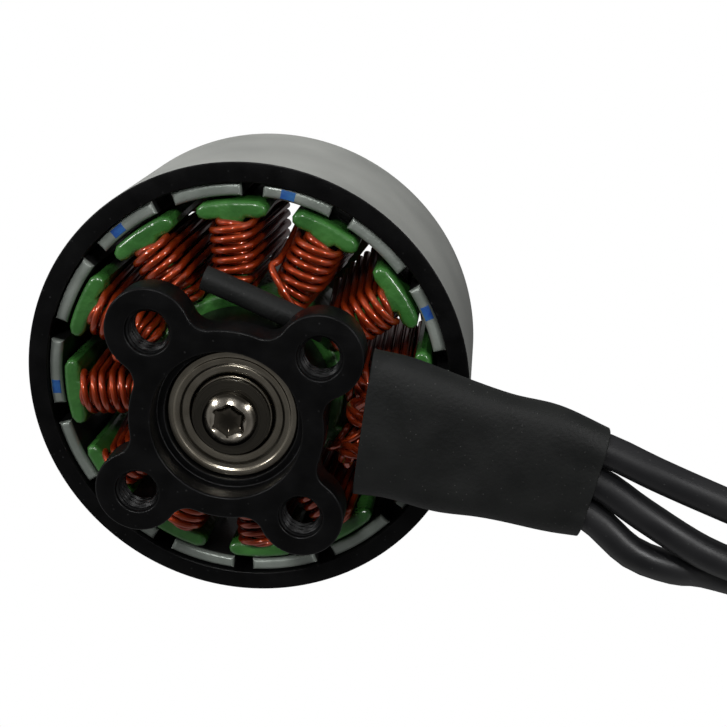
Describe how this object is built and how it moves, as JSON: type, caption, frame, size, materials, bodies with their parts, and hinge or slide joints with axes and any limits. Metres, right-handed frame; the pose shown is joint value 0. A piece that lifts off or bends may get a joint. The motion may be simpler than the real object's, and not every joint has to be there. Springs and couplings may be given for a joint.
{
  "type": "brushless dc motor",
  "caption": "Outrunner brushless motor: grey bell with magnets round a wound green stator, black four-pad mounting base, propeller shaft and three sleeved leads.",
  "frame": {"origin": "centre of the flat mounting face, where the motor stands", "axes": "+Z along the shaft from the mounting face to the propeller end, +X between two mounting pads, towards the side where the leads leave"},
  "size_m": [0.0902, 0.0376, 0.0381],
  "materials": {
    "black_base": "black anodised, satin",
    "bearing_steel": "ground bearing steel",
    "green_lamination": "glossy green powder coat",
    "copper": "clear enamelled copper wire",
    "shrink_tube": "matte black shrunk sleeve",
    "tie": "moulded nylon strip",
    "lead": "satin black silicone",
    "ring_grey": "matte grey coat over steel, black end faces",
    "magnet": "nickel plated",
    "bell_alloy": "grey anodised",
    "screw_steel": "turned hardened steel"
  },
  "bodies": {
    "stator": {"mount_base": "black_base", "lower_bearing_outer_race": "bearing_steel", "upper_bearing_outer_race": "bearing_steel", "stator_core": "green_lamination", "coil_01": "copper", "coil_02": "copper", "coil_03": "copper", "coil_04": "copper", "coil_05": "copper", "coil_06": "copper", "coil_07": "copper", "coil_08": "copper", "coil_09": "copper", "coil_10": "copper", "coil_11": "copper", "coil_12": "copper", "winding_tail_sleeve": "shrink_tube", "lead_sleeve": "shrink_tube", "lead_1": "lead", "lead_2": "lead", "lead_3": "lead", "lead_coil": "lead", "lead_tie": "tie"},
    "rotor": {"flux_ring": "ring_grey", "magnet_01": "magnet", "magnet_02": "magnet", "magnet_03": "magnet", "magnet_04": "magnet", "magnet_05": "magnet", "magnet_06": "magnet", "magnet_07": "magnet", "magnet_08": "magnet", "magnet_09": "magnet", "magnet_10": "magnet", "magnet_11": "magnet", "magnet_12": "magnet", "magnet_13": "magnet", "magnet_14": "magnet", "bell_cap": "bell_alloy", "shaft": "screw_steel", "retaining_screw": "screw_steel", "retaining_washer": "screw_steel", "lower_bearing_inner_race": "bearing_steel", "upper_bearing_inner_race": "bearing_steel"}
  },
  "joints": [
    {"name": "bell_spin", "type": "hinge", "parent": "stator", "child": "rotor", "pos_m": [0, 0, 0], "axis": [0, 0, 1], "continuous": true}
  ]
}
